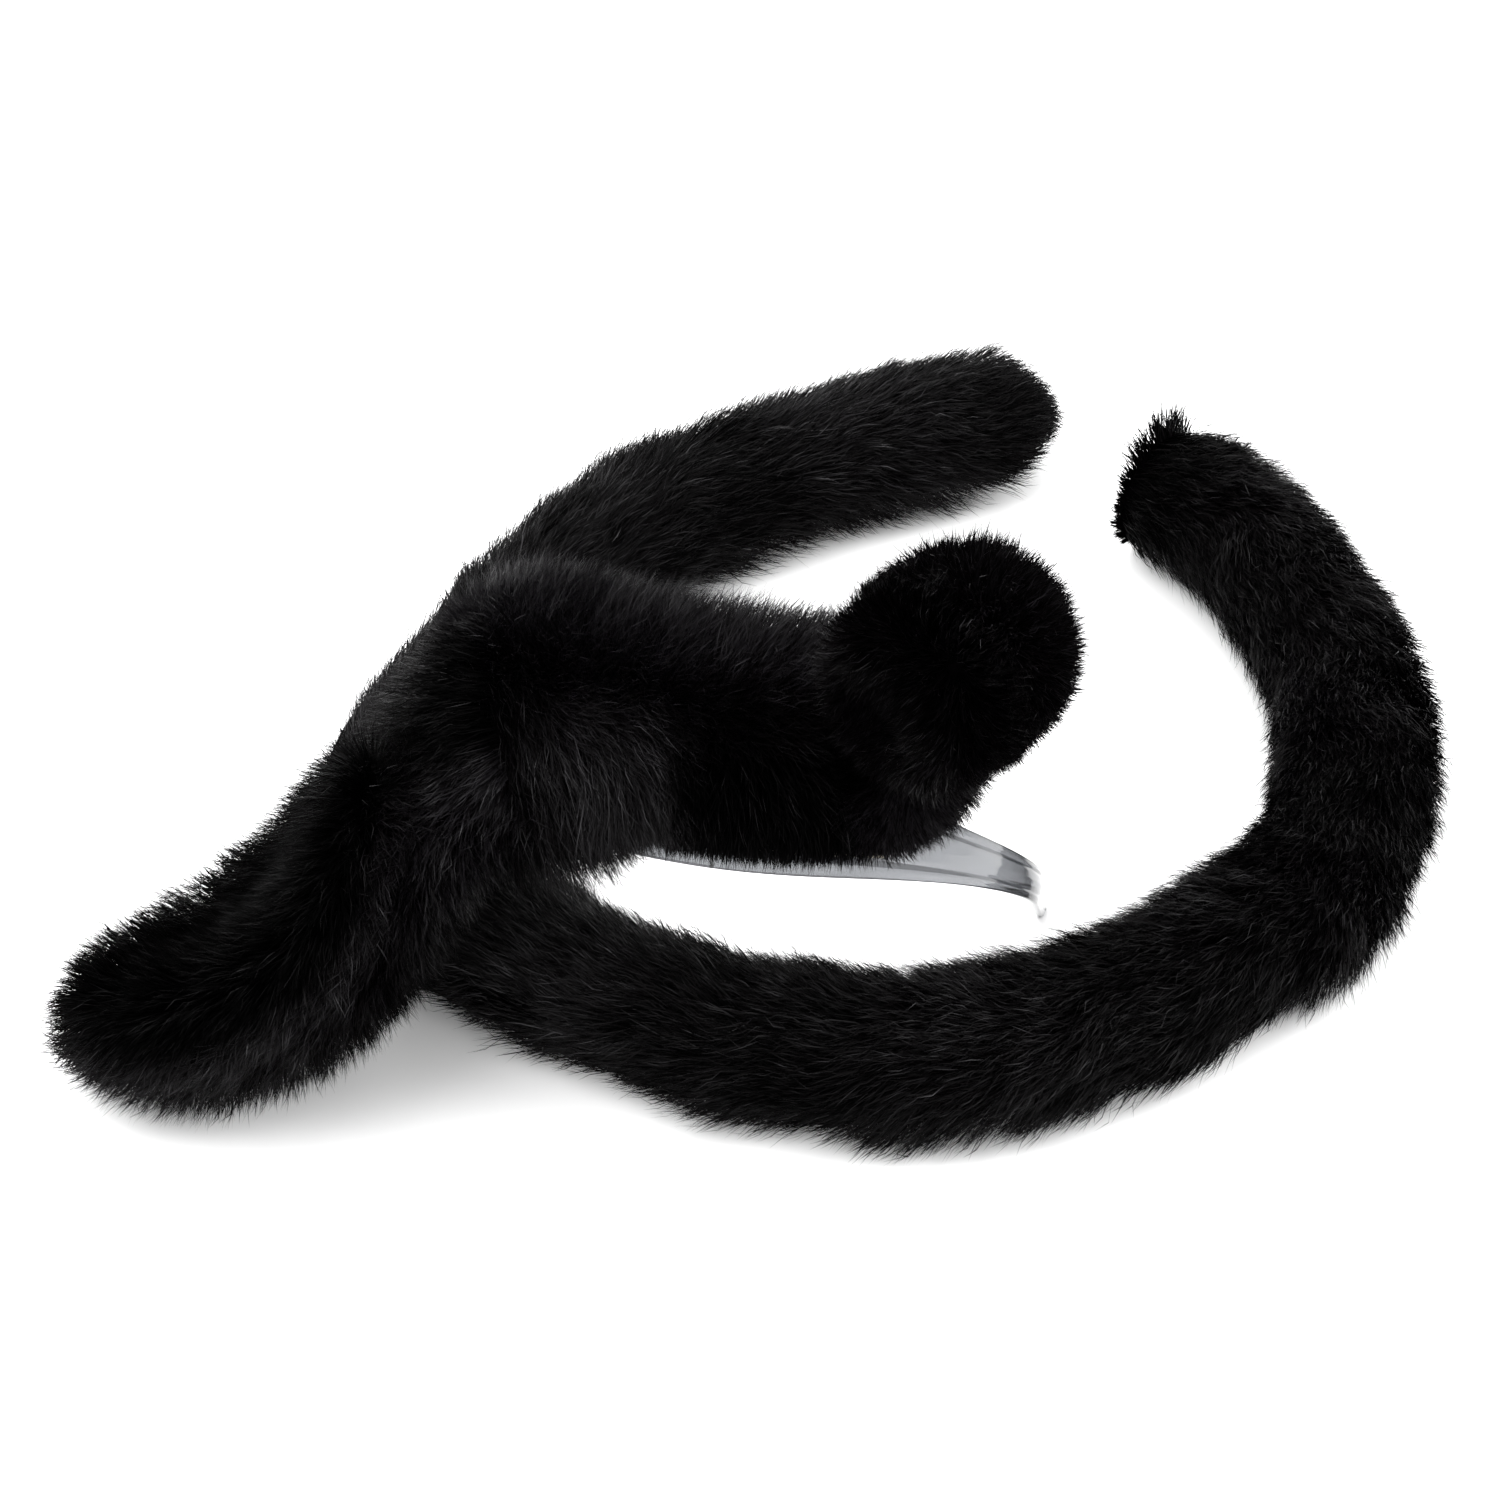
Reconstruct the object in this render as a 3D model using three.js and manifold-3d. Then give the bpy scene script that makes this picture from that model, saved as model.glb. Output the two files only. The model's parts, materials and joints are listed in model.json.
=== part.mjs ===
// Animal ears headband with its matching tail, laid out as a costume set.
// Millimetres, +Z up. The tail lies in a C on the surface, and the headband stands inside it,
// leaning forward on its two band tips and on its drooping left ear.
import * as THREE from 'three';
import { mergeVertices } from 'three/addons/utils/BufferGeometryUtils.js';
import Module from 'manifold-3d';

const wasm = await Module();
wasm.setup();

const GAP = 0.3; // between pieces that touch on the real object
const rad = THREE.MathUtils.degToRad;

// Headband arch, in its own frame: X to the right as seen from the front, Y to the back, Z up,
// with the two tips at Z = 0. Left and right are as seen from the front throughout.
const CROWN_RADIUS = 62;
const ARM_LENGTH = 45; // the straight part of each arm, below the crown's half circle
const ARM_INWARD = rad(1.5);
const BAND_WIDTH = 24;
const TIP_WIDTH = 7.5;
const BAND_TAPER = 0.34; // share of the arch over which the width falls off
const BAND_SETBACK = 8.5; // how far the crown lies behind the tips
const BAND_THICKNESS = 2;
const BAND_RIDGE = 0.5; // how far the outer face rises at mid width
const TIP_ROUND = 4; // length of each rounded tip
const FLEX_ANGLE = rad(59); // from the top of the crown to where the arms start to flex
const FLEX_CLEARANCE = rad(0.4);

// Fur cover on the crown: it leaves a bare margin at the band's front edge and overhangs the back
const COVER_SLIP = rad(-8); // how far it has slid along the crown to the left ear's side
const COVER_HALF = rad(49);
const COVER_WIDTH = 44;
const COVER_HEIGHT = 15;
const COVER_MARGIN = 4.5;
const ADHESIVE_WIDTH = 13;
const ADHESIVE_THICKNESS = 0.5;

// Ears
const EAR_LENGTH = 104;
const EAR_WIDTH = 47;
const EAR_BACK = 20; // how far the back bulges
const EAR_FRONT = 19; // how far the rim of the front bulges
const EAR_CUP = 11; // how far the middle of the front is pressed in
const EAR_EGG = 0.1; // narrowing from root to tip
const EAR_PANEL = 0.17; // share of the thickness that each fur panel takes
const BASE_PANEL_RADIUS = 10;
const BASE_PANEL_THICKNESS = 1.4;

// Each ear: where it is sewn on, which way it leaves the crown and its cup faces, and its bend.
// The left ear droops over the tail to the surface, and the right ear stands up.
const EARS = {
  left: {
    angle: rad(-50), forward: 17, lift: 8, bend: rad(74),
    direction: new THREE.Vector3(-0.2, -0.2, -0.96), cup: new THREE.Vector3(-0.96, 0.02, 0.2),
  },
  right: {
    angle: rad(26), forward: -3, lift: 4, bend: rad(8),
    direction: new THREE.Vector3(0.2, -0.58, 0.79), cup: new THREE.Vector3(-0.77, -0.59, -0.24),
  },
};

// How the headband stands
const STAND_AT = new THREE.Vector3(7, -40, 1.2);
const STAND_YAW = rad(-11);
const STAND_LEAN = rad(44.5);

// Tail
const TAIL_RADIUS = 17.5;
const TAIL_FLAT = 15.5; // height of its middle above the side that it lies on
const TAIL_WALL = 6; // knit backing and dense pile
const TAIL_SIDES = 11;
const TAIL_STEP = 18;
const TAIL_BEND_GAP = 5.5;
const TAIL_BASE_SHARE = 0.2; // share of its length from the base to the first bend
const TAIL_TIP_SHARE = 0.76; // and to the second bend
const TAIL_CAP_THICKNESS = 2.4;
const TAIL_ROUTE = [
  [101, 79], [117, 63], [131, 35], [139, 0], [137, -33], [123, -66], [98, -91], [67, -107],
  [36, -113], [6, -110], [-20, -101], [-44, -89], [-67, -73], [-82, -51], [-83, -25], [-72, 0],
  [-56, 29], [-33, 56], [-3, 79], [27, 94], [56, 104],
];

// Materials
const clearPlastic = () => new THREE.MeshStandardMaterial({
  color: 0xdfe6ea, roughness: 0.08, metalness: 0, transparent: true, opacity: 0.4,
});
const blackFur = () => new THREE.MeshStandardMaterial({ color: 0x0b0b0d, roughness: 0.95, metalness: 0 });
const blackCloth = () => new THREE.MeshStandardMaterial({ color: 0x141416, roughness: 0.9, metalness: 0 });
const whiteFill = () => new THREE.MeshStandardMaterial({ color: 0xe9e7e2, roughness: 1, metalness: 0 });
const hotGlue = () => new THREE.MeshStandardMaterial({ color: 0xd8d3c4, roughness: 0.4, metalness: 0 });

// Solids
function piece(name, geometry, material) {
  const mesh = new THREE.Mesh(geometry, material);
  mesh.name = name;
  return mesh;
}

function toSolid(geometry) {
  const bare = geometry.clone();
  bare.deleteAttribute('normal');
  bare.deleteAttribute('uv');
  const merged = mergeVertices(bare, 1e-4);
  return new wasm.Manifold(new wasm.Mesh({
    numProp: 3,
    vertProperties: new Float32Array(merged.attributes.position.array),
    triVerts: new Uint32Array(merged.index.array),
  }));
}

function fromSolid(solid) {
  const mesh = solid.getMesh();
  const geometry = new THREE.BufferGeometry();
  geometry.setAttribute('position', new THREE.BufferAttribute(mesh.vertProperties, 3));
  geometry.setIndex(new THREE.BufferAttribute(mesh.triVerts, 1));
  geometry.computeVertexNormals();
  return geometry;
}

function moveVertices(geometry, change) {
  const position = geometry.attributes.position;
  const point = new THREE.Vector3();
  for (let i = 0; i < position.count; i += 1) {
    point.fromBufferAttribute(position, i);
    change(point);
    position.setXYZ(i, point.x, point.y, point.z);
  }
  geometry.computeVertexNormals();
  return geometry;
}

// The arch: distance along it is measured from the top of the crown, to the right as positive
const quarter = CROWN_RADIUS * Math.PI / 2;
const archHalf = quarter + ARM_LENGTH;
const crownHeight = ARM_LENGTH * Math.cos(ARM_INWARD);
const coverBase = BAND_THICKNESS / 2 + BAND_RIDGE + ADHESIVE_THICKNESS + 2 * GAP;
const coverTop = CROWN_RADIUS + coverBase + COVER_HEIGHT;

function archPoint(along, offset = 0) {
  const side = Math.sign(along);
  const angle = Math.min(Math.abs(along), quarter) / CROWN_RADIUS;
  const down = Math.max(Math.abs(along) - quarter, 0);
  const radius = CROWN_RADIUS + offset;
  return new THREE.Vector3(
    side * (radius * Math.sin(angle) - down * Math.sin(ARM_INWARD)),
    0,
    crownHeight + radius * Math.cos(angle) - down * Math.cos(ARM_INWARD),
  );
}

class ArchCurve extends THREE.Curve {
  constructor(from, to, offset = 0) {
    super();
    this.from = from;
    this.to = to;
    this.offset = offset;
  }

  getPoint(t) {
    return archPoint(this.from + (this.to - this.from) * t, this.offset);
  }
}

// Along this sweep a section's x runs across the band and its y points in, to the head
function alongArch(section, from, to, steps, offset = 0) {
  return new THREE.ExtrudeGeometry(section, {
    extrudePath: new ArchCurve(from, to, offset), steps, curveSegments: 6, bevelEnabled: false,
  });
}

function bandSection() {
  const half = BAND_WIDTH / 2;
  const inner = BAND_THICKNESS / 2;
  const shape = new THREE.Shape();
  shape.moveTo(-half, inner - 0.5);
  shape.lineTo(-half + 0.5, inner);
  shape.lineTo(half - 0.5, inner);
  shape.lineTo(half, inner - 0.5);
  shape.lineTo(half, -inner + 0.6);
  shape.lineTo(half - 0.6, -inner);
  shape.lineTo(0, -inner - BAND_RIDGE);
  shape.lineTo(-half + 0.6, -inner);
  shape.lineTo(-half, -inner + 0.6);
  shape.closePath();
  return shape;
}

// How far down the arch a point is, from 0 at the top of the crown to 1 at a tip
function archShare(point) {
  const above = point.z - crownHeight;
  if (above > 0) return CROWN_RADIUS * Math.atan2(Math.abs(point.x), above) / archHalf;
  return Math.min((quarter - above / Math.cos(ARM_INWARD)) / archHalf, 1);
}

function bandWidthAt(share) {
  return TIP_WIDTH + (BAND_WIDTH - TIP_WIDTH) * Math.exp(-((share / BAND_TAPER) ** 2));
}

// The front edge's place behind the tips' middle
function frontEdgeAt(share) {
  return BAND_SETBACK * (1 - share * share) ** 2 - bandWidthAt(share) / 2;
}

function shapeBand(geometry) {
  return moveVertices(geometry, (point) => {
    const share = archShare(point);
    const fromTip = (1 - share) * archHalf;
    const round = 1 - Math.min(fromTip / TIP_ROUND, 1);
    const width = bandWidthAt(share);
    const middle = frontEdgeAt(share) + width / 2;
    point.y = middle + point.y * (width / BAND_WIDTH) * Math.sqrt(1 - 0.85 * round * round);
  });
}

// Moves a strip to its place behind the front edge
function setBack(geometry, behindEdge) {
  return moveVertices(geometry, (point) => {
    point.y += frontEdgeAt(archShare(point)) + behindEdge;
  });
}

function bandCrown() {
  const end = CROWN_RADIUS * (FLEX_ANGLE - FLEX_CLEARANCE);
  return shapeBand(alongArch(bandSection(), -end, end, 22));
}

function bandArm(side) {
  const start = CROWN_RADIUS * (FLEX_ANGLE + FLEX_CLEARANCE);
  return shapeBand(alongArch(bandSection(), side * start, side * archHalf, 20));
}

function adhesiveStrip() {
  const half = ADHESIVE_WIDTH / 2;
  const shape = new THREE.Shape();
  shape.moveTo(-half, 0);
  shape.lineTo(half, 0);
  shape.lineTo(half, -ADHESIVE_THICKNESS);
  shape.lineTo(-half, -ADHESIVE_THICKNESS);
  shape.closePath();
  const middle = CROWN_RADIUS * COVER_SLIP;
  const halfLength = CROWN_RADIUS * (COVER_HALF - rad(9));
  const offset = BAND_THICKNESS / 2 + BAND_RIDGE + GAP;
  const strip = alongArch(shape, middle - halfLength, middle + halfLength, 14, offset);
  return setBack(strip, COVER_MARGIN + half);
}

function crownCover() {
  const half = COVER_WIDTH / 2;
  const shape = new THREE.Shape();
  shape.moveTo(-half, 0);
  shape.lineTo(half, 0);
  shape.bezierCurveTo(half, -COVER_HEIGHT * 1.33, -half, -COVER_HEIGHT * 1.33, -half, 0);
  const middle = CROWN_RADIUS * COVER_SLIP;
  const halfLength = CROWN_RADIUS * COVER_HALF;
  const strip = alongArch(shape, middle - halfLength, middle + halfLength, 14, coverBase);
  return setBack(strip, COVER_MARGIN + half);
}

// An ear's layers, from the front at share 0 to the back at share 1. Its root is at the origin,
// it starts along Z and bends to its cupped front, which faces -Y, and its width lies along X.
function earLayer(fromShare, toShare, scale, shift, bend) {
  const geometry = new THREE.SphereGeometry(1, 18, 10);
  const curvature = bend / EAR_LENGTH;
  return moveVertices(geometry, (point) => {
    const radius = Math.min(Math.hypot(point.x, point.z), 1) * scale;
    const edge = Math.sqrt(1 - radius * radius);
    const front = EAR_CUP * edge ** 4 - EAR_FRONT * Math.sqrt(edge);
    const back = EAR_BACK * edge ** 0.8;
    let share = (fromShare + toShare) / 2;
    if (point.y > 1e-6) share = toShare;
    if (point.y < -1e-6) share = fromShare;
    const outward = front + (back - front) * share + shift;
    const length = (EAR_LENGTH / 2) * (1 + point.z * scale);
    const turned = curvature * length;
    point.set(
      point.x * scale * (EAR_WIDTH / 2) * (1 - EAR_EGG * point.z * scale),
      (Math.cos(turned) - 1) / curvature + outward * Math.cos(turned),
      Math.sin(turned) / curvature + outward * Math.sin(turned),
    );
  });
}

function basePanel() {
  const panel = new THREE.CylinderGeometry(BASE_PANEL_RADIUS, BASE_PANEL_RADIUS, BASE_PANEL_THICKNESS, 20);
  panel.rotateX(Math.PI / 2);
  return panel;
}

// A point over the middle of the cover, at an angle from the top of the crown
function overCover(angle, reach) {
  const share = CROWN_RADIUS * Math.abs(angle) / archHalf;
  const back = frontEdgeAt(share) + COVER_MARGIN + COVER_WIDTH / 2;
  return new THREE.Vector3(reach * Math.sin(angle), back, crownHeight + reach * Math.cos(angle));
}

function ear(name, stand) {
  const { angle, forward, lift, bend, direction, cup } = EARS[name];
  const group = new THREE.Group();
  const along = direction.clone().normalize();
  const width = new THREE.Vector3().crossVectors(along, cup).normalize();
  const outward = new THREE.Vector3().crossVectors(along, width);
  group.quaternion.setFromRotationMatrix(new THREE.Matrix4().makeBasis(width, outward, along));
  const root = overCover(angle, coverTop + lift);
  root.y -= forward;
  group.position.copy(root.applyMatrix4(stand.matrix));
  const back = earLayer(1 - EAR_PANEL, 1, 1, GAP, bend);
  const fill = earLayer(EAR_PANEL + 0.02, 0.98 - EAR_PANEL, 0.94, 0, bend);
  const front = earLayer(0, EAR_PANEL, 1, -GAP, bend);
  group.add(piece(`ear_${name}_back_panel`, back, blackFur()));
  group.add(piece(`ear_${name}_stuffing`, fill, whiteFill()));
  group.add(piece(`ear_${name}_front_panel`, front, blackFur()));
  return group;
}

// The cloth disc on the cover that the ear's root is stitched to
function earSeat(name) {
  const { angle } = EARS[name];
  const seat = new THREE.Group();
  seat.position.copy(overCover(angle, coverTop + GAP + BASE_PANEL_THICKNESS / 2));
  seat.rotation.y = angle;
  seat.add(piece(`ear_${name}_base_panel`, basePanel(), blackCloth()));
  return seat;
}

function headband() {
  const group = new THREE.Group();
  group.position.copy(STAND_AT);
  group.rotation.set(STAND_LEAN, 0, STAND_YAW, 'ZYX');
  group.add(piece('band_crown', bandCrown(), clearPlastic()));
  group.add(piece('band_arm_left', bandArm(-1), clearPlastic()));
  group.add(piece('band_arm_right', bandArm(1), clearPlastic()));
  group.add(piece('adhesive_strip', adhesiveStrip(), hotGlue()));
  group.add(piece('crown_fur_cover', crownCover(), blackFur()));
  group.add(earSeat('left'), earSeat('right'));
  group.updateMatrix();
  return group;
}

// Tail: along its sweep a section's x points down and its y to the left of the way it runs
const tailCurve = new THREE.CatmullRomCurve3(
  TAIL_ROUTE.map(([x, y]) => new THREE.Vector3(x, y, TAIL_FLAT)),
);
const tailLength = tailCurve.getLength();

function tailStretch(from, to) {
  const steps = Math.round((to - from) / TAIL_STEP);
  const points = [];
  for (let i = 0; i <= steps; i += 1) {
    points.push(tailCurve.getPointAt((from + (to - from) * (i / steps)) / tailLength));
  }
  return { curve: new THREE.CatmullRomCurve3(points), steps };
}

function tailSection(inset) {
  const radius = TAIL_RADIUS - inset;
  const open = Math.acos((TAIL_FLAT - inset) / radius);
  const shape = new THREE.Shape();
  shape.absarc(0, 0, radius, open, 2 * Math.PI - open, false);
  shape.closePath();
  return shape;
}

function tailSweep(from, to, inset, hollow) {
  const { curve, steps } = tailStretch(from, to);
  const section = tailSection(inset);
  if (hollow) section.holes.push(tailSection(inset + TAIL_WALL));
  return new THREE.ExtrudeGeometry(section, {
    extrudePath: curve, steps, curveSegments: TAIL_SIDES, bevelEnabled: false,
  });
}

// A rounded end as wide as the tail, with the flat underside cut off
function tailDome(at, inset) {
  const dome = new THREE.SphereGeometry(TAIL_RADIUS - inset, 14, 9);
  dome.translate(at.x, at.y, at.z);
  const half = TAIL_RADIUS * 2;
  const floor = new THREE.BoxGeometry(2 * half, 2 * half, half);
  floor.translate(at.x, at.y, at.z - TAIL_FLAT + inset - half / 2);
  return toSolid(dome).subtract(toSolid(floor));
}

function roundedStretch(from, to, inset) {
  const end = tailCurve.getPointAt(to / tailLength);
  return toSolid(tailSweep(from, to, inset, false)).add(tailDome(end, inset));
}

function tail() {
  const group = new THREE.Group();
  const baseEnd = tailLength * TAIL_BASE_SHARE;
  const tipStart = tailLength * TAIL_TIP_SHARE;
  const half = TAIL_BEND_GAP / 2;
  const fill = TAIL_WALL + 2 * GAP;
  const capped = TAIL_CAP_THICKNESS + 3 * GAP;

  group.add(piece('tail_sleeve_base', tailSweep(capped, baseEnd - half, 0, true), blackFur()));
  group.add(piece('tail_stuffing_base', tailSweep(capped, baseEnd - half, fill, false), whiteFill()));
  group.add(piece('tail_sleeve_middle', tailSweep(baseEnd + half, tipStart - half, 0, true), blackFur()));
  group.add(piece('tail_stuffing_middle', tailSweep(baseEnd + half, tipStart - half, fill, false), whiteFill()));

  const outer = roundedStretch(tipStart + half, tailLength, 0);
  const hollow = roundedStretch(tipStart + half - 1, tailLength, TAIL_WALL);
  group.add(piece('tail_sleeve_tip', fromSolid(outer.subtract(hollow)), blackFur()));
  group.add(piece('tail_stuffing_tip', fromSolid(roundedStretch(tipStart + half, tailLength, fill)), whiteFill()));

  const cap = new THREE.ExtrudeGeometry(tailSection(0), {
    depth: TAIL_CAP_THICKNESS, steps: 1, curveSegments: TAIL_SIDES, bevelEnabled: false,
  });
  const start = tailCurve.getPointAt(0);
  const ahead = tailCurve.getTangentAt(0);
  const down = new THREE.Vector3(0, 0, -1);
  const left = new THREE.Vector3().crossVectors(ahead, down);
  cap.applyMatrix4(new THREE.Matrix4().makeBasis(down, left, ahead.clone()).setPosition(start));
  group.add(piece('tail_base_cap', cap, blackFur()));
  return group;
}

// The row frame's origin is the middle of the set's footprint, on the surface
const group = new THREE.Group();
const set = new THREE.Group();
const stand = headband();
set.add(stand, ear('left', stand), ear('right', stand));
set.add(tail());
group.add(set);
group.updateMatrixWorld(true);
const box = new THREE.Box3().setFromObject(group, true);
set.position.set(-(box.min.x + box.max.x) / 2, -(box.min.y + box.max.y) / 2, -box.min.z);
group.updateMatrixWorld(true);

export default group;
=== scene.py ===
"""Animal ears headband in the curl of its matching tail: long black pile on soft forms, over a clear band."""

import json
import math

import bpy
import numpy as np
from mathutils import Euler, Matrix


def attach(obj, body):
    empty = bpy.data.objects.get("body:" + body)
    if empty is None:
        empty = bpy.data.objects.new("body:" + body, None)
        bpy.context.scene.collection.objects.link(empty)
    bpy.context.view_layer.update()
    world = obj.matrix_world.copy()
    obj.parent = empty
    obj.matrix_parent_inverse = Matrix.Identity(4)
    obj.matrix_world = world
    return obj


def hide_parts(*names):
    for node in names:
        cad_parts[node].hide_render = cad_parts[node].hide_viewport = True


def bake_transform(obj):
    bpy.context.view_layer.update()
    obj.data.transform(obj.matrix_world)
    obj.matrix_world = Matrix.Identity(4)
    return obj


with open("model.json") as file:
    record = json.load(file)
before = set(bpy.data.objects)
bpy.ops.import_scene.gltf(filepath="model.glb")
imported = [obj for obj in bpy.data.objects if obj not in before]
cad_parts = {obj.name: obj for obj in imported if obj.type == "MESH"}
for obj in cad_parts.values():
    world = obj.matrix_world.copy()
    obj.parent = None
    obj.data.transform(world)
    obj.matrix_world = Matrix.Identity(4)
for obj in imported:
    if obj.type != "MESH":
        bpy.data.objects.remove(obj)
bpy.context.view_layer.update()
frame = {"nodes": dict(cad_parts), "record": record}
joints = {j["name"]: j for j in frame["record"]["behaviour"]["joints"]}
MM = 0.001
UP = np.array([0.0, 0.0, 1.0])
rng = np.random.default_rng(7)


# ---------------------------------------------------------------- helpers
def unit(v):
    return v / np.maximum(np.linalg.norm(v, axis=-1, keepdims=True), 1e-12)


def mix(a, b, t):
    return a + (b - a) * t


def smooth(t):
    t = np.clip(t, 0, 1)
    return t * t * (3 - 2 * t)


def waves(p, size, seed):
    """Smooth noise from -1 to 1 at points p, with features of about that size in metres."""
    local = np.random.default_rng(seed)
    total = np.zeros(len(p))
    for _ in range(7):
        k = unit(local.normal(size=3)) * (2 * math.pi / (size * local.uniform(0.7, 1.6)))
        total += np.sin(p @ k + local.uniform(0, 6.28))
    return np.clip(total / 2.6, -1, 1)


def mesh_object(name, points, faces, materials, shades=None):
    """A smooth-shaded mesh from arrays. faces is a list of index arrays, one for each number of corners, and
    shades has each face's material number."""
    mesh = bpy.data.meshes.new(name)
    counts = np.concatenate([np.full(len(f), f.shape[1]) for f in faces])
    corners = np.concatenate([f.reshape(-1) for f in faces])
    mesh.vertices.add(len(points))
    mesh.vertices.foreach_set("co", np.asarray(points, np.float32).reshape(-1))
    mesh.loops.add(len(corners))
    mesh.loops.foreach_set("vertex_index", corners.astype(np.int32))
    mesh.polygons.add(len(counts))
    mesh.polygons.foreach_set("loop_start", (np.cumsum(counts) - counts).astype(np.int32))
    mesh.polygons.foreach_set("use_smooth", np.full(len(counts), True))
    for material in materials:
        mesh.materials.append(material)
    if shades is not None:
        mesh.polygons.foreach_set("material_index", shades.astype(np.int32))
    mesh.update(calc_edges=True)
    obj = bpy.data.objects.new(name, mesh)
    bpy.context.scene.collection.objects.link(obj)
    return obj


def tube_faces(rows, columns):
    """The quads of a tube, from one ring of points to the next."""
    i = np.arange(rows - 1)[:, None]
    j = np.arange(columns)[None, :]
    after = (j + 1) % columns
    low, high = i * columns, (i + 1) * columns
    return np.stack([low + j, low + after, high + after, high + j], -1).reshape(-1, 4)


def loft(name, rings, *materials, edges=None):
    """A closed skin through rings of points, an array of shape (rings, points, 3). edges marks the columns of
    faces that have the second material."""
    rows, columns, _ = rings.shape
    points = np.vstack([rings.reshape(-1, 3), rings[0].mean(0), rings[-1].mean(0)])
    first_middle = np.full(columns, len(points) - 2)
    last_middle = np.full(columns, len(points) - 1)
    j = np.arange(columns)
    after = (j + 1) % columns
    last_ring = (rows - 1) * columns
    faces = [
        tube_faces(rows, columns),
        np.stack([first_middle, after, j], -1),
        np.stack([last_middle, last_ring + j, last_ring + after], -1),
    ]
    shades = None
    if edges is not None:
        shades = np.concatenate([np.tile(edges, rows - 1), np.zeros(2 * columns)])
    return mesh_object(name, points, faces, materials, shades)


# ---------------------------------------------------------------- materials
def principled(name, color, roughness, **inputs):
    material = bpy.data.materials.new(name)
    material.use_nodes = True
    shader = material.node_tree.nodes["Principled BSDF"]
    shader.inputs["Base Color"].default_value = (*color, 1)
    shader.inputs["Roughness"].default_value = roughness
    for key, value in inputs.items():
        shader.inputs[key.replace("_", " ")].default_value = value
    return material


def patterned(name, dark, light, scale, roughness, bump, shine=0.5):
    """A material whose colour and bump come from noise in the object's own space."""
    material = principled(name, dark, roughness, Specular_IOR_Level=shine)
    tree = material.node_tree
    shader = tree.nodes["Principled BSDF"]
    place = tree.nodes.new("ShaderNodeTexCoord")
    noise = tree.nodes.new("ShaderNodeTexNoise")
    noise.inputs["Scale"].default_value = scale
    noise.inputs["Detail"].default_value = 6.0
    ramp = tree.nodes.new("ShaderNodeValToRGB")
    ramp.color_ramp.elements[0].position = 0.35
    ramp.color_ramp.elements[0].color = (*dark, 1)
    ramp.color_ramp.elements[1].position = 0.7
    ramp.color_ramp.elements[1].color = (*light, 1)
    relief = tree.nodes.new("ShaderNodeBump")
    relief.inputs["Strength"].default_value = bump
    relief.inputs["Distance"].default_value = MM
    tree.links.new(place.outputs["Object"], noise.inputs["Vector"])
    tree.links.new(noise.outputs["Fac"], ramp.inputs["Fac"])
    tree.links.new(ramp.outputs["Color"], shader.inputs["Base Color"])
    tree.links.new(noise.outputs["Fac"], relief.inputs["Height"])
    tree.links.new(relief.outputs["Normal"], shader.inputs["Normal"])
    return material


# Shades of the black pile, from black to ash: lit and shaded copies of one fur that paint light and shade on
# it, plus a random spread of tone
FUR = [
    principled("fur_black", (0.0001, 0.0001, 0.0001), 0.5, Specular_IOR_Level=0.01),
    principled("fur_charcoal", (0.0004, 0.0003, 0.0004), 0.45, Specular_IOR_Level=0.03),
    principled("fur_brown_black", (0.0012, 0.0008, 0.001), 0.42, Specular_IOR_Level=0.06),
    principled("fur_slate", (0.0032, 0.0027, 0.0033), 0.4, Specular_IOR_Level=0.12),
    principled("fur_ash", (0.0095, 0.0085, 0.01), 0.38, Specular_IOR_Level=0.22),
]
knit = patterned("knit_backing", (0.0002, 0.0002, 0.0002), (0.0008, 0.0006, 0.0008), 900, 1.0, 0.6, 0.0)
woven = patterned("woven_backing", (0.002, 0.002, 0.002), (0.008, 0.007, 0.008), 700, 0.85, 0.5)
glue = patterned("hot_melt", (0.5, 0.46, 0.36), (0.66, 0.62, 0.52), 180, 0.35, 0.3)
# Darker clear material for the band's rounded lips and grooves: painted shade for the dark lines along a
# clear band's edges and in its grooves
band_edge = principled(
    "clear_band_edge_painted_shade", (0.03, 0.032, 0.036), 0.12, IOR=1.5, Transmission_Weight=0.8, Specular_IOR_Level=0.7
)
clear = principled(
    "clear_band", (0.15, 0.155, 0.165), 0.06, IOR=1.5, Transmission_Weight=0.95, Specular_IOR_Level=0.7
)


# ---------------------------------------------------------------- pile
BLADE = np.array([[0, 1, 3, 2], [2, 3, 5, 4]])  # a hair's two quads, over three pairs of points
BLADE_TIP = np.array([[4, 5, 6]])
BLADE_POINTS = 7
BLADE_TAPER = (0.9, 1.0, 0.72)  # share of the hair's width at each pair of points
# Each step's place along a hair, and its share of the length
HAIR_STEPS = ((0.15, 0.36), (0.5, 0.34), (0.85, 0.30))
LOCK = 9  # hairs in a lock
LOCK_PULL = (0.12, 0.4, 0.75)  # how far a hair is drawn to its lock's first one, after each step
DROOP = 0.12  # how far a hair's own weight bends it down
CURL = 0.45  # how far it bends over towards its comb


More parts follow.
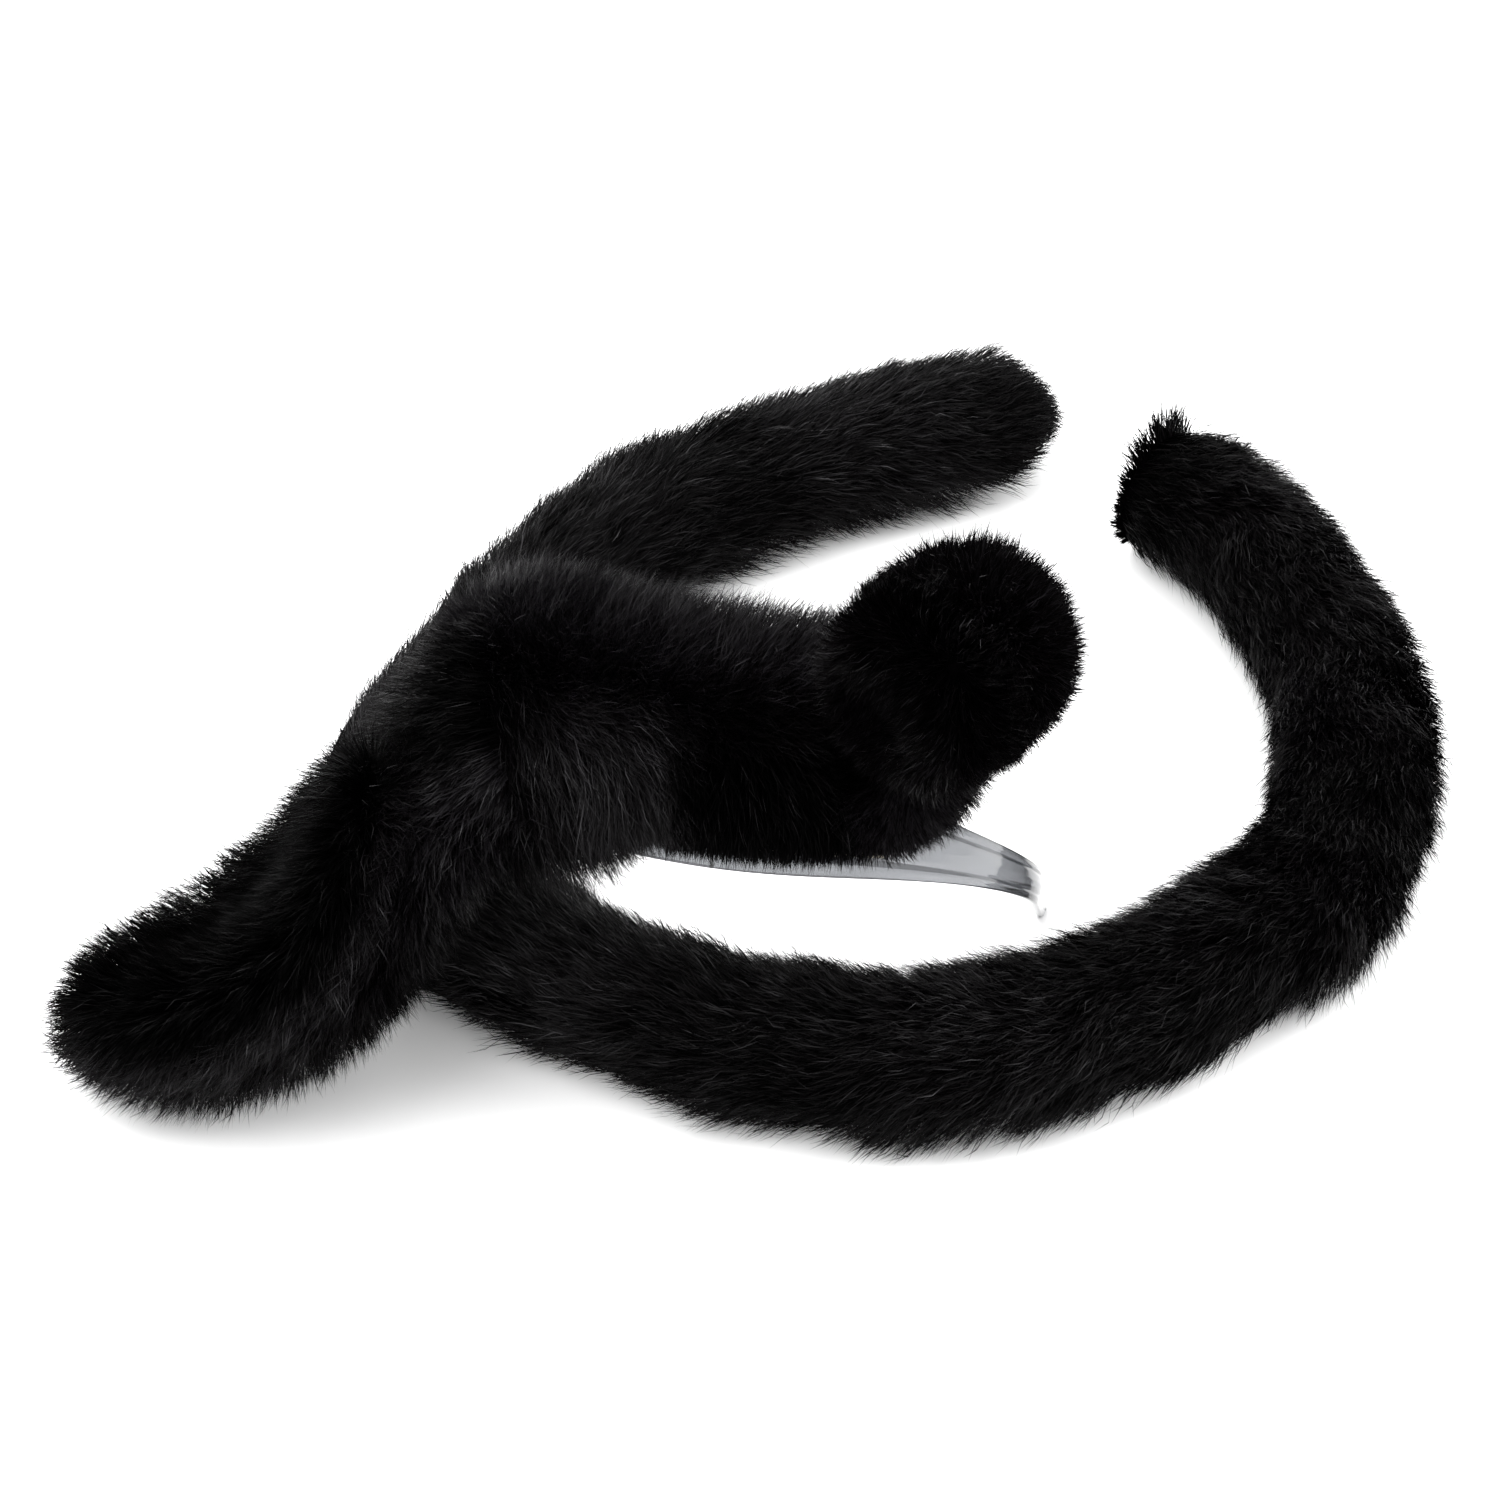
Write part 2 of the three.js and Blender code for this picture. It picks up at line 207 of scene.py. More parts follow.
def pile(name, root, normal, comb, length, lift, tone, width=0.25, gather=0.28):
    """Long hair as thin tapered blades. root, normal and comb have one row for each hair. comb is the way
    that the nap lies, lift the angle at which a hair leaves the surface, and tone goes from 0, black, to 1,
    ash. width is a hair's mean width in mm, and gather says how far hairs lean together into locks."""
    n = len(root)
    local = np.random.default_rng(len(name) * 977 + n)
    normal = unit(normal)
    comb = unit(comb - normal * np.sum(comb * normal, 1, keepdims=True))
    across = np.cross(normal, comb)
    turn = (local.normal(0, 0.16, n) + 0.28 * waves(root, 0.013, seed=11))[:, None]
    comb = comb * np.cos(turn) + across * np.sin(turn)
    length = length * np.clip(local.normal(0.97, 0.16, n), 0.4, 1.3)
    start = lift + local.normal(0, 0.12, n)
    path = [root]
    for step, (u, share) in enumerate(HAIR_STEPS):
        angle = (start * (1 + CURL * (0.33 - u)))[:, None]
        heading = normal * np.sin(angle) + comb * np.cos(angle) - UP * (DROOP * u)
        heading = unit(heading + local.normal(0, 0.08 + 0.08 * step, (n, 3)))
        path.append(path[-1] + heading * (length * share)[:, None])
    first = np.arange(n) // LOCK * LOCK
    for step, pull in enumerate(LOCK_PULL, 1):
        path[step] = mix(path[step], path[step][first], pull * gather * local.uniform(0.5, 1.1, (n, 1)))
    side = unit(np.cross(path[3] - path[0], normal))
    tilt = local.normal(0, 0.55, (n, 1))
    side = side * np.cos(tilt) + normal * np.sin(tilt)
    half = 0.5 * width * MM * local.uniform(0.7, 1.3, (n, 1))
    points = np.empty((n, BLADE_POINTS, 3))
    for step, taper in enumerate(BLADE_TAPER):
        points[:, 2 * step] = path[step] - side * half * taper
        points[:, 2 * step + 1] = path[step] + side * half * taper
    points[:, -1] = path[3]
    flat = points.reshape(-1, 3)
    # Hair that reaches the floor lies on it
    low = (0.4 + 0.6 * local.random(len(flat))) * MM
    flat[:, 2] = np.maximum(flat[:, 2], low)
    base = (np.arange(n) * BLADE_POINTS)[:, None, None]
    quads = (base + BLADE[None]).reshape(-1, 4)
    tips = (base + BLADE_TIP[None]).reshape(-1, 3)
    # Each hair takes the fur shade nearest its tone, with a random spread: this paints light and shade on the
    # pile
    palest = len(FUR) - 1
    shade = np.clip(np.rint(tone * palest + local.normal(0, 0.9, n)), 0, palest)
    shades = np.concatenate([np.repeat(shade, len(BLADE)), shade])
    obj = mesh_object(name, flat, [quads, tips], FUR, shades)
    return obj


def locks(count, spread, sample):
    """Two parameters for each root. sample gives each lock's first root, and the rest spread round it."""
    first = sample(count // LOCK)
    away = rng.normal(0, 1, (len(first), LOCK, 2)) * np.array(spread)
    away[:, 0] = 0
    return (first[:, None, :] + away).reshape(-1, 2)


# ---------------------------------------------------------------- tail
# In mm. The route, the flat's height and the two bends' places are the CAD's.
TAIL_FLAT = 15.5  # height of its middle above the floor
TAIL_SKIN = 14.2  # radius of the cloth under the pile
TAIL_LIFTED = 1.2  # how far fuller fur raises its roots
TAIL_HAIR = 11.6  # the pile's length
TAIL_ROUTE = [
    (101, 79), (117, 63), (131, 35), (139, 0), (137, -33), (123, -66), (98, -91), (67, -107),
    (36, -113), (6, -110), (-20, -101), (-44, -89), (-67, -73), (-82, -51), (-83, -25), (-72, 0),
    (-56, 29), (-33, 56), (-3, 79), (27, 94), (56, 104),
]
TAIL_BASE_SHARE = 0.2  # share of its length from the base to the first bend
TAIL_TIP_SHARE = 0.76  # and to the second bend


def centripetal(points, steps=40):
    """A smooth curve through the points, as the CAD sweep has it."""
    ends = np.vstack([2 * points[0] - points[1], points, 2 * points[-1] - points[-2]])
    out = []
    for a, b, c, d in zip(ends, ends[1:], ends[2:], ends[3:]):
        ab, bc, cd = (max(np.linalg.norm(q - p) ** 0.5, 1e-6) for p, q in ((a, b), (b, c), (c, d)))
        leave = ((b - a) / ab - (c - a) / (ab + bc) + (c - b) / bc) * bc
        reach = ((c - b) / bc - (d - b) / (bc + cd) + (d - c) / cd) * bc
        t = np.arange(steps)[:, None] / steps
        square = 3 * (c - b) - 2 * leave - reach
        cube = 2 * (b - c) + leave + reach
        out.append(b + leave * t + square * t**2 + cube * t**3)
    return np.vstack([*out, points[-1:]])


tail_line = centripetal(np.array([(x, y, TAIL_FLAT) for x, y in TAIL_ROUTE], float)) * MM
walk = np.concatenate([[0], np.cumsum(np.linalg.norm(np.diff(tail_line, axis=0), axis=1))])
tail_length = walk[-1]


def on_line(s):
    return np.stack([np.interp(s, walk, tail_line[:, k]) for k in range(3)], -1)


# The CAD centres the set in the frame. The record's place for the first bend says how far it moved.
base_bend = tail_length * TAIL_BASE_SHARE
tip_bend = tail_length * TAIL_TIP_SHARE
offset = np.array(joints["tail_base_bend"]["pos_m"]) - on_line(np.array([base_bend]))[0]


def tail_axis(s):
    """Points, headings and left-hand sides along the tail."""
    step = 4 * MM
    s = np.clip(s, 0, tail_length)
    here = on_line(s) + offset
    ahead = unit(on_line(np.minimum(s + step, tail_length)) - on_line(np.maximum(s - step, 0)))
    return here, ahead, np.cross(UP, ahead)


def tail_surface(s, angle, radius):
    """Points and normals on the tail, and the way that its nap lies. Past its end it rounds off."""
    here, ahead, left = tail_axis(s)
    out = left * np.cos(angle)[:, None] + UP * np.sin(angle)[:, None]
    turn = (np.clip(s - tail_length, 0, None) / radius).clip(0, math.pi / 2)[:, None]
    normal = out * np.cos(turn) + ahead * np.sin(turn)
    nap = ahead * np.cos(turn) - out * np.sin(turn)
    return here + normal * radius, normal, nap


def tail_skin(name, start, end):
    s = np.linspace(start, end, max(int((end - start) / (3 * MM)), 8))
    angle = np.linspace(0, 2 * math.pi, 28, endpoint=False)
    grid_s, grid_a = np.meshgrid(s, angle, indexing="ij")
    points, _, _ = tail_surface(grid_s.ravel(), grid_a.ravel(), TAIL_SKIN * MM)
    points[:, 2] = np.maximum(points[:, 2], 1.2 * MM)
    skin = loft(name, points.reshape(len(s), len(angle), 3), knit)
    return skin


# Where the tail's fur stands fuller or lies flatter: a place on the route, the side, the reach along the tail
# in mm, and the amount
OUTSIDE, TOP, INSIDE = 0.0, math.pi / 2, math.pi
TAIL_FULLNESS = [
    ((120, 55), INSIDE, 45, -0.6),
    ((137, -33), OUTSIDE, 45, 0.7),
    ((139, -5), INSIDE, 40, -0.5),
    ((112, -80), INSIDE, 25, 0.9),
    ((70, -106), INSIDE, 25, 0.6),
    ((110, -82), OUTSIDE, 35, -0.7),
    ((5, -111), INSIDE, 40, -0.7),
    ((-48, -87), INSIDE, 22, 1.2),
    ((-40, -91), OUTSIDE, 28, -1.2),
    ((-20, 70), OUTSIDE, 35, 0.3),
    ((0, 80), INSIDE, 45, 0.8),
    ((-78, -25), OUTSIDE, 60, -2.9),
    ((-82, -35), TOP, 42, -0.6),
]


def tail_fullness(s, angle):
    total = 0 * s
    for (x, y), side, reach, amount in TAIL_FULLNESS:
        away = tail_line[:, :2] - np.array([x, y]) * MM
        at = walk[np.argmin(np.linalg.norm(away, axis=1))]
        near = np.exp(-(((s - at) / (reach * MM)) ** 2))
        total += amount * near * np.clip(np.cos(angle - side), 0, 1) ** 2
    return total


def tail_pile(name, start, end, count):
    """The nap runs to the tail's tip, in rings that stand and lie. The underside has none."""
    underside = 0.62  # how far below its widest line the pile goes

    def sample(n):
        s = rng.uniform(start, end, n)
        return np.stack([s, rng.uniform(-underside, math.pi + underside, n)], -1)

    place = locks(count, (1.1 * MM, 0.075), sample)
    s = np.clip(place[:, 0], start, end)
    angle = place[:, 1]
    full = tail_fullness(s, angle)
    root, normal, nap = tail_surface(s, angle, TAIL_SKIN * MM)
    root += normal * (TAIL_LIFTED * MM * full)[:, None]
    ripple = waves(np.stack([s, angle * 0.006, s * 0], -1), 0.036, seed=3)
    lift = np.clip(0.52 + 0.17 * ripple + 0.3 * full, 0.12, 1.2)
    swirl = 0.25 * waves(root, 0.03, seed=5)[:, None]
    comb = nap + np.cross(normal, nap) * swirl
    tone = 0.3 + 0.13 * ripple + 0.06 * waves(root, 0.02, seed=9)
    # Painted light: paler towards the tip and near the base, standing in for the light that falls there, and
    # painted shade that darkens the flat end
    share = s / tail_length
    tone += 0.13 * smooth((share - 0.45) / 0.25) + 0.07 * smooth((0.3 - share) / 0.15)
    tone -= 0.3 * smooth((0.04 - share) / 0.04)
    length = TAIL_HAIR * MM * (1 + 0.12 * waves(root, 0.02, seed=17))
    return pile(name, root, normal, comb, length, lift, tone)


def tail_end_pile(name, count):
    """Short hair on the tail's flat end, longer at the top of its rim where it stands up as a tuft."""

    def sample(n):
        out = np.sqrt(rng.uniform(0, 1, n))
        return np.stack([out, rng.uniform(0, 2 * math.pi, n)], -1)

    place = locks(count, (0.0, 0.0), sample)
    place += rng.normal(0, 1, place.shape) * (0.05, 0.1)
    out = np.clip(place[:, 0], 0, 1)[:, None]
    angle = place[:, 1]
    here, ahead, left = tail_axis(0 * angle)
    side = left * np.cos(angle)[:, None] + UP * np.sin(angle)[:, None]
    normal = unit(side * 1.1 * out**4 - ahead)
    high = smooth((np.sin(angle) - 0.3) / 0.7) * out[:, 0] ** 2
    length = MM * (3.5 + 7.5 * high)
    lift = 0.95 + 0.1 * high
    # Painted shade darkens the flat end, and painted light pales the tuft along the top of its rim
    tone = 0.08 + 0.25 * high
    return pile(name, here + side * out * TAIL_SKIN * MM, normal, side + 1.2 * UP, length, lift, tone)


# ---------------------------------------------------------------- headband
# The CAD's own measures, in mm
CROWN_RADIUS = 62
ARM_LENGTH = 45
ARM_INWARD = math.radians(1.5)
BAND_WIDTH = 24
TIP_WIDTH = 7.5
BAND_TAPER = 0.34  # share of the arch over which the width falls off
BAND_SETBACK = 8.5  # how far the crown lies behind the tips
BAND_THICKNESS = 2
BAND_RIDGE = 0.5  # how far the outer face rises at mid width
TIP_ROUND = 4
ADHESIVE_THICKNESS = 0.5
GAP = 0.3
COVER_SLIP = math.radians(-8)
COVER_HALF = math.radians(49)
COVER_WIDTH = 44
COVER_HEIGHT = 15
COVER_MARGIN = 4.5  # bare band in front of the cover
COVER_BASE = BAND_THICKNESS / 2 + BAND_RIDGE + ADHESIVE_THICKNESS + 2 * GAP
STAND_AT = np.array([7, -40, 1.2])
STAND_TURN = np.array(Euler((math.radians(44.5), 0, math.radians(-11)), "XYZ").to_matrix())
QUARTER = CROWN_RADIUS * math.pi / 2
ARCH_HALF = QUARTER + ARM_LENGTH
CROWN_HEIGHT = ARM_LENGTH * math.cos(ARM_INWARD)
# Details of the shown band
LIP = 0.55  # width of its rounded edges
GROOVE_AT = 0.62  # share of the half width, where a groove runs along each side
GROOVE_DEPTH = 0.3
# Details of the shown cover
COVER_INSET = 0.8  # the cloth under the pile, as a share of the CAD's cover
LEFT_ROUNDING = math.radians(13)  # how far along the crown its left end is rounded
RIGHT_ROUNDING = math.radians(33)


def stand(points):
    """From the headband's own millimetres to the frame."""
    return (points @ STAND_TURN.T + STAND_AT) * MM + offset


def stand_way(vectors):
    return vectors @ STAND_TURN.T


def band_width(share):
    return TIP_WIDTH + (BAND_WIDTH - TIP_WIDTH) * np.exp(-((share / BAND_TAPER) ** 2))


def front_edge(share):
    return BAND_SETBACK * (1 - share * share) ** 2 - band_width(share) / 2


def arch(along):
    """Points on the arch's middle line and its outward normals; along is from the crown's top."""
    side = np.sign(along)
    angle = np.minimum(np.abs(along), QUARTER) / CROWN_RADIUS
    down = np.maximum(np.abs(along) - QUARTER, 0)
    x = side * (CROWN_RADIUS * np.sin(angle) - down * math.sin(ARM_INWARD))
    z = CROWN_HEIGHT + CROWN_RADIUS * np.cos(angle) - down * math.cos(ARM_INWARD)
    y = np.zeros_like(along)
    return np.stack([x, y, z], -1), np.stack([side * np.sin(angle), y, np.cos(angle)], -1)


def band_profile():
    """Round the band's section: across it from -1 to 1, the height, and how far the lips bulge."""
    half = BAND_THICKNESS / 2
    profile = []
    for x in np.linspace(-1, 1, 25):
        groove = GROOVE_DEPTH * math.exp(-(((abs(x) - GROOVE_AT) / 0.07) ** 2))
        profile.append((x, half + BAND_RIDGE * (1 - abs(x)) ** 1.2 - 0.25 * abs(x) ** 14 - groove, 0))
    for angle in np.linspace(math.pi / 2, -math.pi / 2, 7)[1:-1]:
        profile.append((1, half * math.sin(angle) * 0.9, LIP * math.cos(angle)))
    for x in np.linspace(1, -1, 11):
        profile.append((x, -half + 0.2 * abs(x) ** 14, 0))
    for angle in np.linspace(-math.pi / 2, math.pi / 2, 7)[1:-1]:
        profile.append((-1, half * math.sin(angle) * 0.9, -LIP * math.cos(angle)))
    return (np.array(column) for column in zip(*profile))


def band_half(name, side):
    """Half of the clear band, from the top of the crown to a rounded tip, with its raised middle."""
    tip = ARCH_HALF - TIP_ROUND * (1 - np.sin(np.linspace(0, math.pi / 2, 14)))
    along = np.unique(np.concatenate([np.linspace(0, ARCH_HALF, 150), tip]))
    across, height, bulge = band_profile()
    point, out = arch(along * side)
    share = along / ARCH_HALF
    width = band_width(share)
    middle = front_edge(share) + width / 2
    round_off = np.clip(1 - (ARCH_HALF - along) / TIP_ROUND, 0, 1)
    shrink = np.sqrt(np.clip(1 - round_off**2, 0.0004, 1))
    rings = point[:, None, :] + out[:, None, :] * height[None, :, None]
    wide = (width / 2 - LIP)[:, None] * across[None] + bulge[None]
    rings[:, :, 1] = middle[:, None] + wide * shrink[:, None]
    # The lips and grooves take the darker clear material: painted shade along the edges and in the grooves
    grooved = (height > 0) & (np.abs(np.abs(across) - GROOVE_AT) < 0.05)
    edges = ((np.abs(bulge) > 0) | grooved).astype(float)
    if side > 0:
        rings = rings[:, ::-1]
        edges = edges[::-1]
    obj = loft(name, stand(rings.reshape(-1, 3)).reshape(rings.shape), clear, band_edge, edges=edges)
    return obj


def over_crown(angle, section, inset):
    """On the fur cover: angle along the crown, and section from 0 at the front edge to pi at the back. inset
    is the share of the CAD's size."""
    share = CROWN_RADIUS * np.abs(angle) / ARCH_HALF
    rounding = np.where(angle > COVER_SLIP, RIGHT_ROUNDING, LEFT_ROUNDING)
    end = np.clip((COVER_HALF - np.abs(angle - COVER_SLIP)) / rounding, 0, 1)
    size = np.sqrt(np.clip(1 - (1 - end) ** 2, 0, 1)) * 0.9 + 0.1
    half = COVER_WIDTH / 2
    across = -np.cos(section) * half * inset * size
    high = COVER_BASE + np.sin(section) * COVER_HEIGHT * inset * size
    y = front_edge(share) + COVER_MARGIN + half + across
    reach = CROWN_RADIUS + high
    point = np.stack([reach * np.sin(angle), y, CROWN_HEIGHT + reach * np.cos(angle)], -1)
    return stand(point)


def over_crown_ways(angle, section, inset):
    """The fur cover's points and normals, with the ways up from the crown and back across it."""
    step = 0.01
    low, high = COVER_SLIP - COVER_HALF, COVER_SLIP + COVER_HALF
    here = over_crown(angle, section, inset)
    along = over_crown(np.minimum(angle + step, high), section, inset)
    along -= over_crown(np.maximum(angle - step, low), section, inset)
    across = over_crown(angle, section + step, inset) - over_crown(angle, section - step, inset)
    radial = np.stack([np.sin(angle), np.zeros_like(angle), np.cos(angle)], -1)
    back = np.array([0.0, 1.0, 0.0])[None] + 0 * radial
    return here, unit(np.cross(along, across)), stand_way(radial), stand_way(back)


def cover_skin():
    angle = np.linspace(COVER_SLIP - COVER_HALF, COVER_SLIP + COVER_HALF, 70)
    section = np.linspace(0, math.pi, 25)
    grid_a, grid_s = np.meshgrid(angle, section, indexing="ij")
    points = over_crown(grid_a.ravel(), grid_s.ravel(), COVER_INSET)
    skin = loft("crown_cover_skin", points.reshape(len(angle), len(section), 3), knit)
    return skin


def cover_pile(name, low, high, count):
    """The nap parts along the crown: in front of the parting it falls to the band, behind it stands back."""
    parting = math.radians(112)

    def sample(n):
        return np.stack([rng.uniform(low, high, n), rng.uniform(-0.12, math.pi + 0.15, n)], -1)

    place = locks(count, (0.016, 0.06), sample)
    angle = np.clip(place[:, 0], low, high)
    section = place[:, 1]
    root, normal, radial, back = over_crown_ways(angle, section, COVER_INSET)
    outward = radial * np.sin(section)[:, None] - back * np.cos(section)[:, None]
    normal *= np.sign(np.sum(normal * outward))
    right = np.cross(back, radial)
    fall = unit(np.cross(right, normal))
    fall *= np.sign(np.sum(fall * -back + fall * -radial * 0.2, 1, keepdims=True) + 1e-9)
    # The flat-lying fan: in front of the parting, from the left end to the seam at the cover's middle
    fan = smooth((parting - section) / 0.35) * smooth((COVER_SLIP + 0.03 - angle) / 0.04)
    ahead = smooth((parting - section) / 0.9)
    behind = smooth((section - parting) / 0.5)
    sweep = smooth((parting - section) / 1.7)[:, None]
    comb = fall * (ahead - 0.7 * behind)[:, None] + right * mix(1.0, 0.08, sweep)
    lift = mix(1.22, 0.36, fan) + 0.12 * waves(root, 0.03, seed=21)
    # Painted light and shade: pale along the back rim, where hair seen side-on catches the light, and on the
    # flat-lying fan that the light falls on; darker on the standing hair in front of the parting, seen
    # end-on, and where the left end turns down
    rim = smooth((section - 1.8) / 0.5)
    left_end = smooth((math.radians(-28) - angle) / 0.35)
    tone = mix(0.32 + rim * mix(0.5, 0.75, left_end), mix(0.6, 0.2, left_end), fan)
    tone -= 0.22 * (1 - fan) * ahead
    # The fan hangs over the band, and elsewhere the front is trimmed short
    overhang = smooth((math.radians(-10) - angle) / 0.5) * smooth((1.3 - section) / 0.7)
    trim = mix(0.6, 1.0, smooth(section))
    length = MM * (mix(12.2 + rim, 14.0, fan) * mix(trim, 1.0, overhang) + 13 * overhang)
    return pile(name, root, normal, comb, length, lift, tone, width=0.22, gather=0.2)


# ---------------------------------------------------------------- ears
# The CAD's own measures, in mm
EAR_LENGTH = 104
EAR_WIDTH = 47
EAR_BACK = 20  # how far the back bulges
EAR_FRONT = 19  # how far the rim of the front bulges
EAR_CUP = 11  # how far the middle of the front is pressed in
EAR_EGG = 0.1  # narrowing from root to tip
# Each ear's joint, bend and ways are the CAD's. Its cloth under the pile is smaller than the CAD's ear, by
# the shares broad, long and thick, and moved sideways by slip mm. hair is the pile's length in mm.
EARS = {
    "left": {
        "joint": "ear_left_raise", "bend": math.radians(74),
        "direction": (-0.2, -0.2, -0.96), "cup": (-0.96, 0.02, 0.2),
        "broad": 0.97, "long": 0.96, "thick": 0.75, "slip": -2, "hair": 11.5,
    },
    "right": {
        "joint": "ear_right_tilt", "bend": math.radians(8),
        "direction": (0.2, -0.58, 0.79), "cup": (-0.77, -0.59, -0.24),
        "broad": 0.66, "long": 0.78, "thick": 0.72, "slip": -5, "hair": 9.5,
    },
}


def ear_ways(name):
    """An ear's ways across, out of its back, and along it at its root."""
    facts = EARS[name]
    along = unit(np.array(facts["direction"], float))
    across = unit(np.cross(along, np.array(facts["cup"], float)))
    return across, np.cross(along, across), along


def on_ear(name, depth, turn, share):
    """Points of an ear's cloth, and the way to its tip. depth is from 0 at the middle of a face to 1 at its
    rim, turn goes round the face, and share is from 0 in front to 1 behind."""
    facts = EARS[name]
    across_way, outward_way, along_way = ear_ways(name)
    root = np.array(joints[facts["joint"]]["pos_m"])
    slope = math.pi / 2 * (1 - depth) ** 2
    radius, edge = np.cos(slope), np.sin(slope)
    x = radius * np.cos(turn) * facts["broad"]
    z = radius * np.sin(turn) * facts["long"]
    front = EAR_CUP * edge**4 - EAR_FRONT * np.sqrt(edge)
    back = EAR_BACK * edge**0.8
    outward = (front + (back - front) * share) * facts["thick"]
    curvature = facts["bend"] / EAR_LENGTH
    turned = curvature * EAR_LENGTH / 2 * (1 + z)
    lx = x * EAR_WIDTH / 2 * (1 - EAR_EGG * z) + facts["slip"]
    ly = (np.cos(turned) - 1) / curvature + outward * np.cos(turned)
    lz = np.sin(turned) / curvature + outward * np.sin(turned)
    away = lx[:, None] * across_way + ly[:, None] * outward_way + lz[:, None] * along_way
    ahead = along_way * np.cos(turned)[:, None] - outward_way * np.sin(turned)[:, None]
    return root + away * MM, ahead


def ear_surface(name, depth, turn, share):
    """Points and outward normals on one face of an ear, its ways to the rim and the tip, and its area."""
    step = 0.008
    here, ahead = on_ear(name, depth, turn, share)
    deeper, _ = on_ear(name, depth + step, turn, share)
    shallower, _ = on_ear(name, depth - step, turn, share)
    further, _ = on_ear(name, depth, turn + step, share)
    nearer, _ = on_ear(name, depth, turn - step, share)
    rimward = deeper - shallower
    round_it = further - nearer
    normal = np.cross(rimward, round_it)
    area = np.linalg.norm(normal, axis=1)
    inside, _ = on_ear(name, depth, turn, 0.5)
    normal = unit(normal) * np.sign(np.sum(normal * (here - inside)))
    return here, normal, unit(rimward), ahead, area


def ear_skin(name):
    depth = np.linspace(0.02, 1, 20)
    turn = np.linspace(0, 2 * math.pi, 44, endpoint=False)
    rings = [on_ear(name, np.full(len(turn), d), turn, 0.0)[0] for d in depth]
    rings += [on_ear(name, np.full(len(turn), d), turn, 1.0)[0] for d in depth[::-1][1:]]
    return loft(f"ear_{name}_skin", np.array(rings), knit)


def ear_tone(name, face, depth, turn):
    """The right ear's front darkens towards its tip while its back pales there, and the left ear is dark with
    pale rims, palest along its lower rim. All of it is painted light and shade: pale where hair seen side-on
    at the rims catches the light, dark where it is seen end-on.
    """
    share = float(face == "back")
    tip = np.sin(turn) * np.cos(math.pi / 2 * (1 - depth) ** 2)
    lower = smooth(0.3 - np.cos(turn) * 1.5)
    if name == "right":
        return mix(mix(0.5, 0.45, share), mix(0.25, 0.55, share), smooth(tip + 0.1))
    if face == "front":
        return mix(0.02, 0.62, smooth((depth - 0.62) / 0.25) * mix(0.25, 1.0, lower))
    return mix(0.08, 0.62, smooth((depth - 0.1) / 0.6) * lower)


def ear_pile(name, count):
    made = []
    for face, share in (("front", 0.0), ("back", 1.0)):

        def sample(n):
            """Picks places by area, so that the steep rim isn't left bare."""
            tries = 8 * n
            depth = rng.uniform(0.02, 0.99, tries)
            turn = rng.uniform(0, 2 * math.pi, tries)
            area = ear_surface(name, depth, turn, share)[-1]
            pick = rng.choice(tries, n, replace=False, p=area / area.sum())
            return np.stack([depth[pick], turn[pick]], -1)

        depth, turn = locks(count // 2, (0.014, 0.04), sample).T
        depth = np.clip(depth, 0.01, 0.99)
        root, normal, rimward, ahead, _ = ear_surface(name, depth, turn, share)
        rim = smooth((depth - 0.25) / 0.45)
        comb = ahead + rimward * 0.8 * rim[:, None]
        lift = mix(1.3, 1.1, rim) + 0.1 * waves(root, 0.02, seed=31)
        length = EARS[name]["hair"] * MM * (1 + 0.08 * waves(root, 0.015, seed=33))
        if name == "right":
            length *= mix(mix(1.0, 1.2, share), 0.8, smooth(depth / 0.7))
        tone = ear_tone(name, face, depth, turn)
        made.append(pile(f"ear_{name}_{face}_pile", root, normal, comb, length, lift, tone))
    return made


# Where the fur runs on from the crown into an ear: the angle and depth at which it leaves the crown, how far
# it leaves sideways, the depth in the ear at which it joins, and its half width and half thickness in mm
NECKS = {
    "left": {
        "angle": math.radians(-36), "depth": 0.3, "sideways": 1.0,
        "join": 0.1, "wide": 18, "thick": 12,
    },
    "right": {
        "angle": math.radians(25), "depth": 0.6, "sideways": 0.15,
        "join": 0.25, "wide": 16, "thick": 8,
    },
}
NECK_END_WIDE = 0.38  # its half width in the ear, as a share of the ear's width
NECK_END_THICK = 13  # its half thickness there in mm, before the ear's own thinning


def neck_line(name, t):
    """Points and headings along the curve from the crown into an ear."""
    facts = NECKS[name]
    crest = np.array([math.pi / 2])
    top, _, radial, back = over_crown_ways(np.array([facts["angle"]]), crest, 1.0)
    start = top[0] - radial[0] * COVER_HEIGHT * (1 - facts["depth"]) * MM
    sideways = np.cross(back[0], radial[0]) * np.sign(facts["angle"])
    leave = unit(sideways * facts["sideways"] + radial[0] * (1 - facts["sideways"]))
    ear_root = np.array([-math.pi / 2])
    joined, arrive = on_ear(name, np.array([facts["join"]]), ear_root, 0.5)
    span = np.linalg.norm(joined - start)
    here = (
        start * (2 * t**3 - 3 * t**2 + 1) + leave * span * (t**3 - 2 * t**2 + t)
        + joined * (3 * t**2 - 2 * t**3) + arrive * span * (t**3 - t**2)
    )
    ahead = unit(
        start * (6 * t**2 - 6 * t) + leave * span * (3 * t**2 - 4 * t + 1)
        + joined * (6 * t - 6 * t**2) + arrive * span * (3 * t**2 - 2 * t)
    )
    return here, ahead, back[0]


